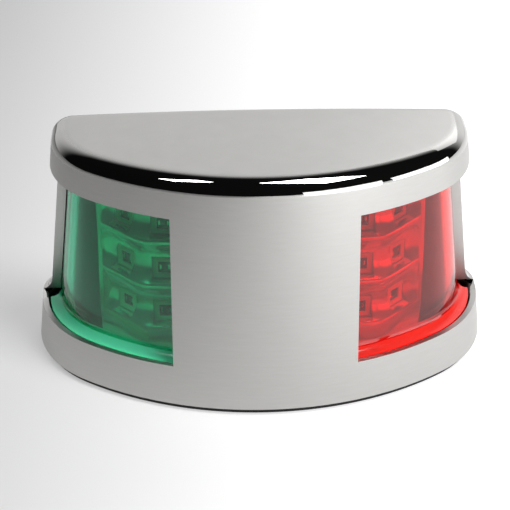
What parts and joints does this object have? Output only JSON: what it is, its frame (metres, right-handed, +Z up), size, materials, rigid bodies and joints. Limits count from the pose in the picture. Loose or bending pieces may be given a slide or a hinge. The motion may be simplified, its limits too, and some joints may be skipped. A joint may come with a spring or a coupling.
{
  "type": "boat bow navigation light",
  "caption": "Half-moon bow light for deck mounting: domed steel cover with a green and a red window over light boards, reflectors and a sealed base.",
  "frame": {"origin": "centre of the footprint on the deck, at the underside of the gasket", "axes": "+Z up from the deck, bow end at -Y, flat back at +Y, green window on -X (starboard), red window on +X (port)"},
  "size_m": [0.1, 0.0464, 0.054],
  "materials": {
    "steel": "satin, polished at the rounded edges",
    "screw_steel": "bright",
    "green_lens": "clear moulded polycarbonate, polished",
    "red_lens": "clear moulded polycarbonate, polished",
    "metallised": "vacuum metallised plastic",
    "light_chip": "white package with a pale resin face",
    "circuit_board": "white solder mask",
    "driver_green": "green solder mask",
    "black_plastic": "moulded, fine grain",
    "pale_plastic": "moulded, fine grain",
    "black_component": "moulded",
    "capacitor_can": "bright",
    "terminal_green": "moulded",
    "rubber": "matt",
    "pale_silicone": "smooth",
    "red_lead": "smooth"
  },
  "bodies": {
    "base": {"green_lens": "green_lens", "red_lens": "red_lens", "lens_seal": "pale_silicone", "green_reflector": "metallised", "red_reflector": "metallised", "green_leds": "light_chip", "red_leds": "light_chip", "green_side_board": "circuit_board", "green_front_board": "circuit_board", "red_side_board": "circuit_board", "red_front_board": "circuit_board", "board_screws": "screw_steel", "centre_screen": "black_plastic", "green_side_screen": "black_plastic", "red_side_screen": "black_plastic", "base_tray": "pale_plastic", "deck_gasket": "rubber", "cable_grommet": "rubber", "top_cap": "black_plastic", "cap_screws": "screw_steel", "driver_board": "driver_green", "inductor": "black_component", "capacitor": "capacitor_can", "regulator": "black_component", "diode": "black_component", "terminal_block": "terminal_green", "terminal_screws": "screw_steel", "green_leads": "red_lead", "red_leads": "red_lead"},
    "cover": {"steel_cover": "steel", "cover_screws": "screw_steel", "cover_nuts": "screw_steel", "cover_pad": "rubber"}
  },
  "joints": [
    {"name": "cover_lift", "type": "slide", "parent": "base", "child": "cover", "axis": [0, 0, 1], "range_m": [0, 0.06]}
  ]
}
